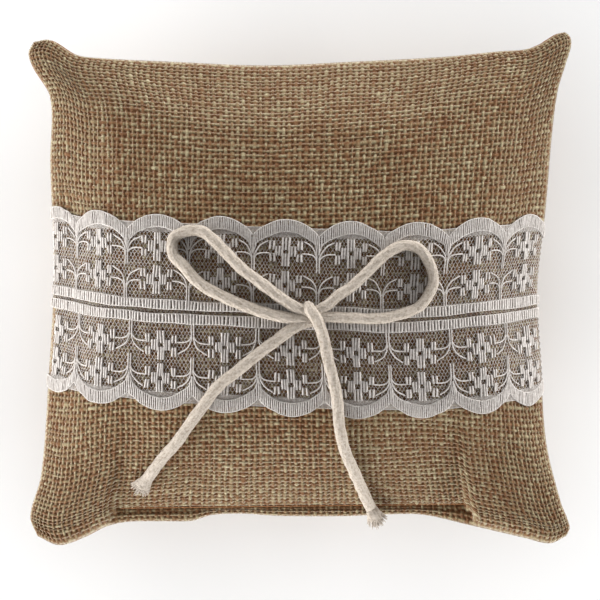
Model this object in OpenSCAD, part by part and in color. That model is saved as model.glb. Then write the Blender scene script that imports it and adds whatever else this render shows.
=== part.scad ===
// Ring bearer pillow: a small square cushion of coarse plain-weave cloth, with a band of
// lace across its front and a soft cord tied in a bow on top of the lace.
// It lies on its back panel, with its front panel facing up.
// Millimetres, +Z up, X along the lace, origin under the middle of the cushion.

/* [Cushion] */
// Width of the cushion from corner tip to corner tip
cushion_w = 150; // [110:1:190]
// Height of the seam plane above the surface that the cushion lies on
seam_height = 22; // [20:0.5:26]
// How far the front panel bulges above the seam plane
front_rise = 27; // [24:0.5:32]
// How far the back panel would bulge below the seam plane if nothing pressed it flat
back_rise = 27; // [25:0.5:32]
// Shape of the bulge: lower is rounder at the seams, higher is more peaked
fullness = 0.62; // [0.5:0.01:0.8]
// Thickness of the panel cloth
cloth_t = 1; // [0.8:0.1:1.2]
// Width of the seam allowance that is turned inside the cushion
seam_allowance = 6; // [5:0.5:7]
// Gap between the two plies of the seam, which holds the thread and the ends of the lace
ply_gap = 0.4; // [0.4:0.1:0.6]
// Distance from the middle of the cushion to the stitches that close the bottom seam
stitch_line = 59.6; // [59:0.1:60]

/* [Lace] */
// Thickness of the lace
lace_t = 0.4; // [0.3:0.1:0.5]
// Clearance of the lace over the front panel
lace_lift = 0.35; // [0.3:0.05:0.5]
// Length of one scallop along the edges of the lace
scallop_pitch = 17.5; // [15:0.5:20]
// Depth of a scallop between its crown and its valley
scallop_depth = 4.6; // [3:0.1:5.5]

/* [Cord] */
// Diameter of the bow cord
cord_d = 3.1; // [2.6:0.1:3.1]

/* [Thread] */
// Thickness of the sewing thread
thread_t = 0.4; // [0.3:0.1:0.5]
// Length of one stitch of the closing seam, with the gap after it
stitch_pitch = 2.5; // [2.5:0.5:4]

/* [Hidden] */

cloth_colour = "rosybrown";
lace_colour = "gainsboro";
cord_colour = "antiquewhite";
thread_colour = "saddlebrown";
fill_colour = "white";

// The outline is drawn for a cushion 150 mm wide, and grows with cushion_w.
size_k = cushion_w / 150;

// The four seams, each through points chosen by hand from corner tip to corner tip.
// Between its corners each side is pulled in by the bulge of the cushion.
left_seam = size_k * [
    [-72.5, -68], [-74.5, -62.5], [-71.5, -51], [-69.5, -25], [-68, 5],
    [-69, 35], [-69, 53], [-74, 62], [-75, 65.5], [-73.5, 68.5]
];
right_seam = size_k * [
    [73.5, -68], [74.5, -65.5], [72, -58.5], [68, -42], [66.5, -20], [65.5, 0],
    [68, 24], [69.5, 42], [71.2, 55], [73.6, 63], [74.9, 67.5], [74.6, 69.9], [73.2, 71.2]
];
top_seam = size_k * [
    [-73.5, 68.5], [-69, 69], [-62, 65], [-55, 64], [-35, 63], [-10, 62],
    [14, 63], [40, 64.4], [55, 65.9], [62, 66.4], [66, 67.7], [68.5, 69.2], [71, 70.7], [73.2, 71.2]
];
bottom_seam = size_k * [
    [-72.5, -68], [-66.5, -70.5], [-60, -68.5], [-53.8, -65.5], [-48, -64.1], [-38, -63.9],
    [-30, -63.8], [-24.5, -62.2], [-16, -61.8], [-6, -62.4], [12, -62.5], [24, -62],
    [34, -62.1], [47, -65], [62, -68.5], [69, -70], [73.5, -68]
];

// Half the size of the cloth panel, which turns a distance in millimetres into u or v.
half_x = 67 * size_k;
half_y = 65 * size_k;

// The cloth panels are drawn on a grid that is finer near the seams.
panel_cells = 24;
fill_cells = 14;
lace_cells_x = 60;
lace_cells_y = 8;

// The closing lip is the flat edge of cloth below the closing stitches. It runs along the
// bottom seam between these two places, and fades at both. The stitches run a little askew.
lip_from_u = -0.72;
lip_to_u = 0.66;
lip_fade_u = 0.03;
min_lip = 0.3;
stitch_skew = 0.9;

// How far the inner face of a panel is set in from its outer face at the seams.
wall_inset = 1.5;
// Clearance between the fibre fill and the cloth around it.
fill_gap = 0.9;
fill_reach = 0.88;

// The lace: its middle line dips between the side seams, and it is narrower at its ends.
lace_mid_v = -0.118;
lace_slope_v = -0.021;
lace_dip_v = 0.053;
lace_half_v = 0.41;
lace_taper_v = 0.04;
scallop_valley_x = 5.1;
lace_tuck = 5;

// The perimeter seam thread lies between the plies, just inside the edge.
seam_thread_inset = 1.2;
seam_thread_rings = 30;

// Cord of the bow: x, y and lift above the lace. The loops start and end beside the knot.
cord_gap = 0.25;
cord_sides = 8;
ring_step = 4.6;
knot_at = [3, -7.1] * size_k;
knot_size = [6.6, 6.2, 5.6];
left_loop_route = [
    [-1.8, -4.4, 0.4], [-5.5, -2, 0.2], [-9.5, 1, 0], [-15.5, 5.5, 0], [-20, 10, 0],
    [-23.5, 13.5, 0], [-26, 15.5, 0], [-28.5, 16, 0], [-31.5, 15.5, 0], [-34, 14, 0],
    [-34.5, 11.5, 0], [-34, 9, 0], [-31.5, 6.5, 0], [-27.5, 2, 0], [-21.5, -1.5, 0],
    [-14.5, -4.5, 0], [-8.5, -6.5, 0.2], [-3, -7.6, 0.4]
];
right_loop_route = [
    [7.6, -4, 0.4], [10, -2, 0.2], [14, 0.5, 0], [19, 5, 0], [23, 9, 0], [27.5, 11.8, 0],
    [31, 11.8, 0], [34, 9.3, 0], [36, 5, 0], [36.2, 1.5, 0], [34.5, -2, 0], [32, -4.8, 0],
    [27.5, -6.5, 0], [24, -7.5, 0], [19, -7.8, 0], [13.5, -7.6, 0.2], [7.8, -7.4, 0.4]
];
left_tail_route = [
    [-2.6, -10.9, 0.4], [-5.5, -13, 0.2], [-11.5, -17.5, 0], [-17, -22, 0], [-22.5, -26.5, 0],
    [-25.5, -30.5, 0], [-28.5, -34.5, 0], [-31, -38, 0], [-33.5, -41.5, 0], [-37.5, -46, 0],
    [-40.5, -50, 0], [-43, -53.5, 0], [-44, -56, 0]
];
right_tail_route = [
    [6, -11.8, 0.4], [6.7, -14.5, 0.2], [7.7, -19.5, 0], [9, -24.5, 0], [10, -29.5, 0],
    [10.5, -35, 0], [11, -39, 0], [12.5, -44.5, 0], [14.5, -49, 0], [16.5, -53.5, 0],
    [18.5, -58, 0.8], [20.5, -62, 1.4], [21.7, -65.5, 0.2]
];

// ---- curves ----

// Share of a curve's length at each of its points, from 0 to 1.
function knots(p) =
    let (steps = [for (i = [1:len(p) - 1]) norm(p[i] - p[i - 1])])
    let (total = sum(steps))
    [for (i = 0, run = 0; i < len(p); run = run + (i < len(steps) ? steps[i] : 0), i = i + 1) run / total];

function sum(list, i = 0) = i == len(list) ? 0 : list[i] + sum(list, i + 1);

// Slope of a smooth curve at its point k.
function slope(p, kn, k) =
    let (a = max(k - 1, 0), b = min(k + 1, len(p) - 1))
    (p[b] - p[a]) / (kn[b] - kn[a]);

// Point of the smooth curve through p at share t of its length.
function on_curve(p, kn, t) =
    let (s = min(max(t, 0), 1))
    let (k = max([for (i = [0:len(p) - 2]) if (kn[i] <= s) i]))
    let (h = kn[k + 1] - kn[k], q = (s - kn[k]) / h)
    (2 * q^3 - 3 * q^2 + 1) * p[k] + (q^3 - 2 * q^2 + q) * h * slope(p, kn, k)
    + (3 * q^2 - 2 * q^3) * p[k + 1] + (q^3 - q^2) * h * slope(p, kn, k + 1);

left_knots = knots(left_seam);
right_knots = knots(right_seam);
top_knots = knots(top_seam);
bottom_knots = knots(bottom_seam);

// ---- the cushion's surface ----

// A panel's cloth runs from u = -1 to 1 along X and from v = -1 to 1 along Y.
// plan() lays it inside the four seams.
function plan(u, v) =
    let (s = (u + 1) / 2, t = (v + 1) / 2)
    let (b = on_curve(bottom_seam, bottom_knots, s), c = on_curve(top_seam, top_knots, s))
    let (l = on_curve(left_seam, left_knots, t), r = on_curve(right_seam, right_knots, t))
    (1 - t) * b + t * c + (1 - s) * l + s * r
    - (1 - s) * (1 - t) * left_seam[0] - s * (1 - t) * right_seam[0]
    - (1 - s) * t * top_seam[0] - s * t * top_seam[len(top_seam) - 1];

function smooth_step(x) = let (a = min(max(x, 0), 1)) a * a * (3 - 2 * a);

// Depth of the flat lip at u, as a share of v.
function lip_v(u) =
    let (inside = min(u - lip_from_u, lip_to_u - u))
    let (depth = size_k * (stitch_skew * u - stitch_line) - plan(u, -1).y)
    (min_lip + (depth - min_lip) * smooth_step(inside / lip_fade_u)) / half_y;

// The bulge starts above the lip, so it has its own w from -1 at the stitches to 1.
function v_of_w(u, w) = -1 + lip_v(u) + (w + 1) / 2 * (2 - lip_v(u));
function w_of_v(u, v) = max(-1, -1 + 2 * (v + 1 - lip_v(u)) / (2 - lip_v(u)));

function crown(u, w) = pow(max(0, (1 - u^2) * (1 - w^2)), fullness);

// Height of a panel's outer face above the seam plane.
function face_z(u, v) = ply_gap / 2 + cloth_t + front_rise * crown(u, w_of_v(u, v));

function front_point(u, v) =
    let (p = plan(u, v))
    [p.x, p.y, seam_height + face_z(u, v)];

// Outward normal of the front panel, from two short steps along the cloth.
function front_normal(u, v) =
    let (d = 0.01, a = min(u + d, 1), b = max(u - d, -1), c = min(v + d, 1), e = max(v - d, -1))
    let (n = cross(front_point(a, v) - front_point(b, v), front_point(u, c) - front_point(u, e)))
    n / norm(n);

// Cloth position (u, v) that lies at x, y, found in a few corrections.
function cloth_at(x, y, u = 0, v = 0, tries = 14) =
    tries == 0 ? [u, v]
    : let (p = plan(u, v))
      let (un = min(max(u + (x - p.x) / half_x, -1), 1), vn = min(max(v + (y - p.y) / half_y, -1), 1))
      cloth_at(x, y, un, vn, tries - 1);

// ---- grids ----

// Cell lines from -1 to 1 that crowd together near both ends.
function seam_lines(n) = [for (i = [0:n]) sin(90 * (2 * i / n - 1))];

// Triangles of a grid of points with rows of nx + 1 points and ny + 1 rows.
function grid_faces(nx, ny, first, up) = [
    for (j = [0:ny - 1], i = [0:nx - 1])
        let (a = first + j * (nx + 1) + i, b = a + 1, c = a + nx + 1, d = c + 1)
        each (up ? [[a, c, d], [a, d, b]] : [[a, d, c], [a, b, d]])
];

// Indices of the border points of such a grid, anticlockwise from its first point.
function border(nx, ny) = concat(
    [for (i = [0:nx]) i],
    [for (j = [1:ny]) j * (nx + 1) + nx],
    [for (i = [nx - 1:-1:0]) ny * (nx + 1) + i],
    [for (j = [ny - 1:-1:1]) j * (nx + 1)]
);

// Strip of triangles between two closed rings of point indices.
function ring_faces(a, b) = [
    for (i = [0:len(a) - 1])
        let (k = (i + 1) % len(a))
        each [[a[i], b[k], a[k]], [a[i], b[i], b[k]]]
];

function run_of(first, count) = [for (i = [0:count - 1]) first + i];

// Point of a panel's inner face, over cloth position u and bulge position w.
function inner_point(u, w, rise, cap) =
    let (p = plan(u * (1 - wall_inset / half_x), v_of_w(u, w) + (0 - w) * wall_inset / half_y))
    [p.x, p.y, min(cap - cloth_t, ply_gap / 2 + cloth_t + (rise - cloth_t) * crown(u, w))];

// ---- panels and fill ----

// One panel above the plane z = 0: an outer face, an inner face, and the seam allowance
// turned in along all four sides. Nothing rises above cap, where the panel is pressed flat.
module panel(rise, cap) {
    us = seam_lines(panel_cells);
    ws = seam_lines(panel_cells);
    ny = panel_cells + 1;
    outer = [
        for (j = [0:ny], u = us)
            let (w = j == 0 ? -1 : ws[j - 1])
            let (p = plan(u, j == 0 ? -1 : v_of_w(u, w)))
            [p.x, p.y, min(cap, ply_gap / 2 + cloth_t + (j == 0 ? 0 : rise * crown(u, w)))]
    ];
    inner = [
        for (j = [0:ny], u = us)
            inner_point(u, j == 0 ? -1 : (j == 1 ? -0.997 : ws[j - 1]), rise, cap)
    ];
    rim = border(panel_cells, ny);
    count = len(outer);
    ring = len(rim);
    edge = [for (k = rim) [outer[k].x, outer[k].y, ply_gap / 2]];
    turn = [
        for (k = rim)
            let (i = k % (panel_cells + 1), j = floor(k / (panel_cells + 1)))
            let (w = j == 0 ? -1 : (j == 1 ? -0.997 : ws[j - 1]))
            plan(us[i] * (1 - seam_allowance / half_x), v_of_w(us[i], w) - w * seam_allowance / half_y)
    ];
    low = [for (p = turn) [p.x, p.y, ply_gap / 2]];
    high = [for (p = turn) [p.x, p.y, ply_gap / 2 + cloth_t]];
    inner_rim = [for (k = rim) count + k];
    polyhedron(
        points = concat(outer, inner, edge, low, high),
        faces = concat(
            grid_faces(panel_cells, ny, 0, true),
            grid_faces(panel_cells, ny, count, false),
            ring_faces(run_of(2 * count, ring), rim),
            ring_faces(run_of(2 * count + ring, ring), run_of(2 * count, ring)),
            ring_faces(run_of(2 * count + 2 * ring, ring), run_of(2 * count + ring, ring)),
            ring_faces(inner_rim, run_of(2 * count + 2 * ring, ring))
        )
    );
}

module front_panel() {
    color(cloth_colour)
        translate([0, 0, seam_height])
            panel(front_rise, 1000);
}

module back_panel() {
    color(cloth_colour)
        translate([0, 0, seam_height])
            mirror([0, 0, 1])
                panel(back_rise, seam_height);
}

// Loose polyester fibre, one soft block that fills the panels out.
module fibre_fill() {
    lines = fill_reach * seam_lines(fill_cells);
    top = [
        for (w = lines, u = lines)
            let (p = inner_point(u, w, front_rise, 1000))
            [p.x, p.y, seam_height + p.z - fill_gap]
    ];
    bottom = [
        for (w = lines, u = lines)
            let (p = inner_point(u, w, back_rise, seam_height))
            [p.x, p.y, seam_height - p.z + fill_gap]
    ];
    rim = border(fill_cells, fill_cells);
    color(fill_colour)
        polyhedron(
            points = concat(top, bottom),
            faces = concat(
                grid_faces(fill_cells, fill_cells, 0, true),
                grid_faces(fill_cells, fill_cells, len(top), false),
                ring_faces([for (k = rim) len(top) + k], rim)
            )
        );
}

// ---- lace ----

// Half width of the lace at u, with its scallops.
function lace_half(u) =
    let (phase = 180 * (u * half_x / size_k - scallop_valley_x) / scallop_pitch)
    lace_half_v - lace_taper_v * u^2 - scallop_depth / half_y * (1 - abs(sin(phase)));

function lace_v(u, w) = lace_mid_v + lace_slope_v * u + lace_dip_v * u^2 + w * lace_half(u);

// Point of the lace at u and w, at height h over the panel.
// Past u = -1 or 1 it turns round the panel's edge and runs in between the two plies.
function lace_point(u, w, h) =
    let (v = lace_v(u, w))
    front_point(u, v) + h * front_normal(u, v);

function tucked_point(side, inset, w, z) =
    let (p = plan(side * (1 - inset / half_x), lace_v(side, w)))
    [p.x, p.y, seam_height + z];

module lace_band() {
    us = seam_lines(lace_cells_x);
    ws = [for (j = [0:lace_cells_y]) 2 * j / lace_cells_y - 1];
    fold = lace_lift + lace_t;
    under = [
        for (w = ws) each concat(
            [tucked_point(-1, lace_tuck, w, lace_t / 2), tucked_point(-1, -lace_lift, w, lace_t / 2)],
            [for (u = us) lace_point(u, w, lace_lift)],
            [tucked_point(1, -lace_lift, w, lace_t / 2), tucked_point(1, lace_tuck, w, lace_t / 2)]
        )
    ];
    over = [
        for (w = ws) each concat(
            [tucked_point(-1, lace_tuck, w, -lace_t / 2), tucked_point(-1, -fold, w, -lace_t / 2)],
            [for (u = us) lace_point(u, w, fold)],
            [tucked_point(1, -fold, w, -lace_t / 2), tucked_point(1, lace_tuck, w, -lace_t / 2)]
        )
    ];
    nx = lace_cells_x + 4;
    rim = border(nx, lace_cells_y);
    color(lace_colour)
        polyhedron(
            points = concat(over, under),
            faces = concat(
                grid_faces(nx, lace_cells_y, 0, true),
                grid_faces(nx, lace_cells_y, len(over), false),
                ring_faces([for (k = rim) len(over) + k], rim)
            )
        );
}

// ---- cord ----

// Height of the cord's middle over x, y: it lies on the lace, or on the panel beyond it.
function cord_z(x, y, lift) =
    let (c = cloth_at(x, y))
    let (steep = 1 / max(front_normal(c[0], c[1]).z, 0.6))
    seam_height + face_z(c[0], c[1]) + (lace_lift + lace_t + cord_gap + cord_d / 2) * steep + lift;

function laid(route) = [
    for (r = route)
        let (x = r.x * size_k, y = r.y * size_k)
        [x, y, cord_z(x, y, r.z)]
];

// Tube swept along the smooth curve through points p. Its end faces are flat.
// The last ring grows to frayed times the width, where the cut end comes undone.
module cord_tube(p, frayed) {
    kn = knots(p);
    run = sum([for (i = [1:len(p) - 1]) norm(p[i] - p[i - 1])]);
    rings = ceil(run / ring_step);
    step = 1 / rings;
    points = [
        for (i = [0:rings])
            let (at = on_curve(p, kn, i * step))
            let (ahead = on_curve(p, kn, i * step + step / 8) - on_curve(p, kn, i * step - step / 8))
            let (along = ahead / norm(ahead))
            let (side = cross(along, [0, 0, 1]) / norm(cross(along, [0, 0, 1])))
            let (rise = cross(side, along), r = cord_d / 2 * (i == rings ? frayed : 1))
            for (k = [0:cord_sides - 1])
                let (a = 360 * (k + 0.5) / cord_sides)
                at + r * (cos(a) * side + sin(a) * rise)
    ];
    last = rings * cord_sides;
    polyhedron(
        points = points,
        faces = concat(
            [for (i = [0:rings - 1]) each ring_faces(
                run_of(i * cord_sides, cord_sides), run_of((i + 1) * cord_sides, cord_sides))],
            [[for (k = [0:cord_sides - 1]) k]],
            [[for (k = [cord_sides - 1:-1:0]) last + k]]
        )
    );
}

module left_loop() {
    color(cord_colour)
        cord_tube(laid(left_loop_route), 1);
}

module right_loop() {
    color(cord_colour)
        cord_tube(laid(right_loop_route), 1);
}

module left_tail() {
    color(cord_colour)
        cord_tube(laid(left_tail_route), 1.4);
}

module right_tail() {
    color(cord_colour)
        cord_tube(laid(right_tail_route), 1.4);
}

knot_base = seam_height + face_z(cloth_at(knot_at.x, knot_at.y)[0], cloth_at(knot_at.x, knot_at.y)[1])
    + lace_lift + lace_t + cord_gap;

// The tight middle of the bow: turns of cord drawn into one rounded lump.
module bow_knot() {
    round = cord_d / 2;
    reach = knot_size / 2 - [round, round, round];
    color(cord_colour)
        translate([knot_at.x, knot_at.y, knot_base + knot_size.z / 2])
            hull()
                for (sx = [-1, 1], sy = [-1, 1], sz = [-1, 1])
                    translate([sx * reach.x, sy * reach.y, sz * reach.z])
                        sphere(r = round, $fn = 16);
}

// ---- thread ----

// Thread of the seam that was sewn before the cushion was turned: one run between the
// plies, from one end of the closing lip round the other three sides to its other end.
module perimeter_seam_thread() {
    n = seam_thread_rings;
    along = [for (i = [0:n]) 2 * i / n - 1];
    last_u = 1 - seam_thread_inset / half_x;
    last_v = 1 - seam_thread_inset / half_y;
    path = concat(
        [for (k = [0:3]) plan(lip_to_u + (last_u - lip_to_u) * k / 4, -last_v)],
        [for (a = along) plan(last_u, last_v * a)],
        [for (i = [1:n]) plan(-last_u * along[i], last_v)],
        [for (i = [1:n]) plan(-last_u, -last_v * along[i])],
        [for (k = [1:4]) plan(-last_u + (last_u + lip_from_u) * k / 4, -last_v)]
    );
    m = len(path);
    half = ply_gap / 2 - 0.05;
    points = [
        for (i = [0:m - 1])
            let (d = path[min(i + 1, m - 1)] - path[max(i - 1, 0)], t = d / norm(d) * thread_t / 2)
            each [
                [path[i].x + t.y, path[i].y - t.x, seam_height - half],
                [path[i].x + t.y, path[i].y - t.x, seam_height + half],
                [path[i].x - t.y, path[i].y + t.x, seam_height + half],
                [path[i].x - t.y, path[i].y + t.x, seam_height - half]
            ]
    ];
    color(thread_colour)
        polyhedron(
            points = points,
            faces = concat(
                [for (i = [0:m - 2]) each ring_faces(run_of(4 * i, 4), run_of(4 * i + 4, 4))],
                [[0, 1, 2], [0, 2, 3]],
                [[4 * m - 4, 4 * m - 2, 4 * m - 3], [4 * m - 4, 4 * m - 1, 4 * m - 2]]
            )
        );
}

// One stitch: a ring of thread, long by tall, round the layers that it holds.
module stitch(long, tall) {
    rotate([90, 0, 0])
        linear_extrude(thread_t, center = true)
            difference() {
                square([long, tall], center = true);
                square([long - 2 * thread_t, tall - 2 * thread_t], center = true);
            }
}

// Stitches that close the opening, through both plies, along the inner side of the lip.
module closing_seam_thread() {
    tall = ply_gap + 2 * cloth_t + 2 * thread_t;
    from = lip_from_u + lip_fade_u;
    to = lip_to_u - lip_fade_u;
    count = floor((to - from) * (plan(1, -1).x - plan(-1, -1).x) / 2 / stitch_pitch);
    color(thread_colour)
        for (i = [0:count])
            let (u = from + (to - from) * i / count)
            let (y = size_k * (stitch_skew * u - stitch_line))
            translate([plan(u, -1).x, y - 2 * thread_t, seam_height])
                rotate([0, 0, atan(stitch_skew * size_k / half_x)])
                    stitch(stitch_pitch - thread_t, tall);
}

// One stitch that holds the knot to the lace and the front panel.
module bow_tack_thread() {
    tall = knot_size.z / 2 + cord_gap + lace_t + lace_lift + cloth_t + 0.6;
    color(thread_colour)
        translate([knot_at.x, knot_at.y, knot_base + knot_size.z / 2 - tall / 2])
            stitch(4, tall);
}

front_panel();
back_panel();
fibre_fill();
lace_band();
bow_knot();
left_loop();
right_loop();
left_tail();
right_tail();
perimeter_seam_thread();
closing_seam_thread();
bow_tack_thread();
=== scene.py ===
# %% [markdown]
# # A ring bearer pillow
#
# This file is a lesson in soft goods. The pillow is a small cushion of coarse cloth. A band of
# lace crosses its front, and a soft cotton cord is tied over the lace in a bow.
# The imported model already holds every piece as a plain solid, in metres. Each piece is made
# again here as cloth, lace, thread or cord, in the place that its solid holds.

# %% The frame
import math
import random
import bmesh
import bpy
import numpy as np
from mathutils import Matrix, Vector, noise
from mathutils.bvhtree import BVHTree


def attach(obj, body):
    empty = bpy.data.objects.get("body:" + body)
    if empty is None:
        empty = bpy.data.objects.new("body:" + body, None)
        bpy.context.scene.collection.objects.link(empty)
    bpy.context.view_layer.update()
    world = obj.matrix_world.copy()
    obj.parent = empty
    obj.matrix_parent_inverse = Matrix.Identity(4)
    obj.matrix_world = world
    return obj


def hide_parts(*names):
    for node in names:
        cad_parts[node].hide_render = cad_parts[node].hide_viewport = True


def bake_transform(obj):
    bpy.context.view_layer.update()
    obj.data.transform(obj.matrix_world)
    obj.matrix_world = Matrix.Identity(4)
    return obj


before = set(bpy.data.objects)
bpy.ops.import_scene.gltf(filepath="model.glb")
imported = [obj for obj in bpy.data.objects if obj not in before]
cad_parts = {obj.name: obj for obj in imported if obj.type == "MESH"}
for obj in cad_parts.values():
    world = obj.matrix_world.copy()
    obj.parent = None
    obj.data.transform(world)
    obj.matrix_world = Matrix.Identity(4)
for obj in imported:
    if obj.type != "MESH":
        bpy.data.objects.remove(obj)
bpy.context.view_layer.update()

MM = 0.001


def put(name, data):
    """Put an object with this data into the scene, at the origin."""
    obj = bpy.data.objects.new(name, data)
    bpy.context.collection.objects.link(obj)
    return obj


# %% [markdown]
# ## The camera
#
# The pillow lies on its back and is seen from straight above. A long lens far away keeps the
# cushion's outline almost free of perspective. The lens is worked out from the width that the
# frame has to show at the height of the seam.

# %% The camera
SEAM_Z = 22 * MM
VIEW_WIDTH = 165.7 * MM
VIEW_MIDDLE = -2.8 * MM
CAMERA_HEIGHT = 1.2
SENSOR = 36

camera_data = bpy.data.cameras.new("camera")
camera_data.sensor_width = SENSOR
camera_data.lens = SENSOR * CAMERA_HEIGHT / VIEW_WIDTH
camera = put("camera", camera_data)
camera.location = (0, VIEW_MIDDLE, SEAM_Z + CAMERA_HEIGHT)
bpy.context.scene.camera = camera
print("lens", round(camera_data.lens), "mm")

# %% [markdown]
# ## The outline
#
# Two square panels were sewn together and turned. The filling pulls each side in between its
# corners, and the corners stay out as ears. A few points per side, joined by one smooth curve,
# give that outline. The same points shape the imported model.
#
# The small bumps of a seam belong to the seam and not to the whole cloth. So each side also has
# a plain arc through its ends and its middle. The cloth follows the arcs, and what a seam adds
# to its arc dies out over the first rows of yarn.

# %% The four seams, in millimetres
LEFT_SEAM = [(-72.5, -68), (-74.5, -62.5), (-71.5, -51), (-69.5, -25), (-68, 5),
             (-69, 35), (-69, 53), (-74, 62), (-75, 65.5), (-73.5, 68.5)]
RIGHT_SEAM = [(73.5, -68), (74.5, -65.5), (72, -58.5), (68, -42), (66.5, -20), (65.5, 0),
              (68, 24), (69.5, 42), (71.2, 55), (73.6, 63), (74.9, 67.5), (74.6, 69.9),
              (73.2, 71.2)]
TOP_SEAM = [(-73.5, 68.5), (-69, 69), (-62, 65), (-55, 64), (-35, 63), (-10, 62),
            (14, 63), (40, 64.4), (55, 65.9), (62, 66.4), (66, 67.7), (68.5, 69.2), (71, 70.7),
            (73.2, 71.2)]
BOTTOM_SEAM = [(-72.5, -68), (-66.5, -70.5), (-60, -68.5), (-53.8, -65.5), (-48, -64.1),
               (-38, -63.9), (-30, -63.8), (-24.5, -62.2), (-16, -61.8), (-6, -62.4),
               (12, -62.5), (24, -62), (34, -62.1), (47, -65), (62, -68.5), (69, -70),
               (73.5, -68)]
SIDE_POINTS = 600


def run_along(points):
    """Distance from the start of a line of points to each of them."""
    return np.r_[0, np.cumsum(np.linalg.norm(np.diff(points, axis=0), axis=1))]


def smooth_curve(points, samples=SIDE_POINTS):
    """Points of the smooth curve through a list of points, evenly spaced by its chords."""
    p = np.array(points, float)
    knots = run_along(p)
    knots /= knots[-1]
    first, last = np.r_[0, 0:len(p) - 1], np.r_[1:len(p), len(p) - 1]
    slope = (p[last] - p[first]) / (knots[last] - knots[first])[:, None]
    t = np.linspace(0, 1, samples)
    k = np.clip(np.searchsorted(knots, t, side="right") - 1, 0, len(p) - 2)
    h = (knots[k + 1] - knots[k])[:, None]
    q = ((t - knots[k]) / h[:, 0])[:, None]
    return ((2 * q**3 - 3 * q**2 + 1) * p[k] + (q**3 - 2 * q**2 + q) * h * slope[k]
            + (3 * q**2 - 2 * q**3) * p[k + 1] + (q**3 - q**2) * h * slope[k + 1])


def along(curve, t):
    """Points at shares t of a sampled curve."""
    line = np.linspace(0, 1, len(curve))
    return np.stack([np.interp(t, line, curve[:, k]) for k in range(curve.shape[1])], -1)


SIDES = [smooth_curve(s) for s in (BOTTOM_SEAM, TOP_SEAM, LEFT_SEAM, RIGHT_SEAM)]
ARCS = [smooth_curve([s[0], s[SIDE_POINTS // 2], s[-1]]) for s in SIDES]
NEAR = 5


def plan(u, v):
    """Place in the seam plane of cloth position u, v, each from -1 to 1."""
    s, t = (u + 1) / 2, (v + 1) / 2
    bottom, top, left, right = (along(c, w) for c, w in zip(ARCS, (s, s, t, t)))
    bumps = [along(c, w) - along(a, w) for c, a, w in zip(SIDES, ARCS, (s, s, t, t))]
    s, t = s[..., None], t[..., None]
    corners = ((1 - s) * (1 - t) * SIDES[0][0] + s * (1 - t) * SIDES[0][-1]
               + (1 - s) * t * SIDES[1][0] + s * t * SIDES[1][-1])
    shares = ((1 - t) ** NEAR, t**NEAR, (1 - s) ** NEAR, s**NEAR)
    local = sum(share * bump for share, bump in zip(shares, bumps))
    return (1 - t) * bottom + t * top + (1 - s) * left + s * right - corners + local


print("outline", np.ptp(np.concatenate(SIDES), axis=0).round(1), "mm")

# %% [markdown]
# ## The bulge
#
# The filling lifts each panel from the seams to a crown in the middle. Where the opening was
# stitched shut, a flat lip of cloth stays outside the stitches, so the bulge starts behind it.
# The lip fades out at its two ends. It pushes the rows of yarn just above it, and rows farther
# in lie as if it were the same all along. The back panel bulges the same way, but the pillow's
# weight presses it flat on the table.

# %% Heights over the seam plane
HALF_X, HALF_Y = 67, 65
RISE, FULLNESS = 27, 0.62
LIP_FROM, LIP_TO, LIP_FADE = -0.72, 0.66, 0.05
STITCH_LINE, STITCH_SKEW = -59.6, 0.9
LIP_REACH, LIP_USUAL = 0.5, 2.8 / HALF_Y
CLOTH = 1.0
EDGE, EDGE_LIFT, EDGE_ROUND = 0.05, 0.2, 0.6


def smooth_step(x):
    """0 below 0, 1 above 1, and a smooth rise between."""
    a = np.clip(x, 0, 1)
    return a * a * (3 - 2 * a)


def lip_depth(u):
    """Full depth of the lip at u, and how much of it is there, from 0 to 1."""
    u = np.asarray(u, float)
    depth = STITCH_LINE + STITCH_SKEW * u - plan(u, -np.ones_like(u))[..., 1]
    return depth, smooth_step(np.minimum(u - LIP_FROM, LIP_TO - u) / LIP_FADE)


def crown(u, v):
    """Share of the full rise at cloth position u, v."""
    depth, there = lip_depth(u)
    lip = depth * there / HALF_Y
    w = np.clip(v - lip * (1 - smooth_step((v + 1 - lip) / LIP_REACH)), -1, 1)
    return np.maximum(0, (1 - u**2) * (1 - w**2)) ** FULLNESS


def face(u, v, floor=None):
    """Points of a panel's outer face. With a floor, it is the back panel."""
    p = plan(u, v)
    inset = np.minimum(HALF_X * (1 - np.abs(u)), HALF_Y * (1 - np.abs(v)))
    z = EDGE + (CLOTH + EDGE_LIFT) * (1 - np.exp(-inset / EDGE_ROUND)) + RISE * crown(u, v)
    z = z if floor is None else -np.minimum(z, floor)
    return np.concatenate([p, z[..., None] + SEAM_Z / MM], -1)


middle = np.zeros(1)
print("bulge", round(float(face(middle, middle)[0, 2] - SEAM_Z / MM), 1), "mm over the seam")

# %% [markdown]
# ## The cloth
#
# The cloth is an imitation burlap: a plain weave of thick yarns 1.5 mm apart, dyed in greyed
# green, tan and red-brown. The grid of each panel follows the yarns, one line per yarn, so the
# weave runs with the cloth as it does on a real cushion. Yarns keep their distance over the
# bulge, so the grid is spaced by the length of the surface and not by its plan. Coarse yarns
# never lie quite evenly, so every line also wanders a little between its neighbours.

# %% Yarn lines
YARN = 1.5
YARNS_X, YARNS_Y = 100, 95
LIP_YARNS = 3
HEM = 3.6
SPREAD = 0.7
WANDER = 0.3
CALM_RIM = 4.0
ACROSS, ALONG = 0.9, 0.13


def even(points_of, count):
    """Shares from 0 to 1 that cut a curve of the cushion into count parts of even length."""
    t = np.linspace(0, 1, 2000)
    p = points_of(t)
    run = run_along(p)
    arc = np.interp(np.linspace(0, run[-1], count + 1), run, t)
    return SPREAD * arc + (1 - SPREAD) * np.linspace(0, 1, count + 1), run[-1]


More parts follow.
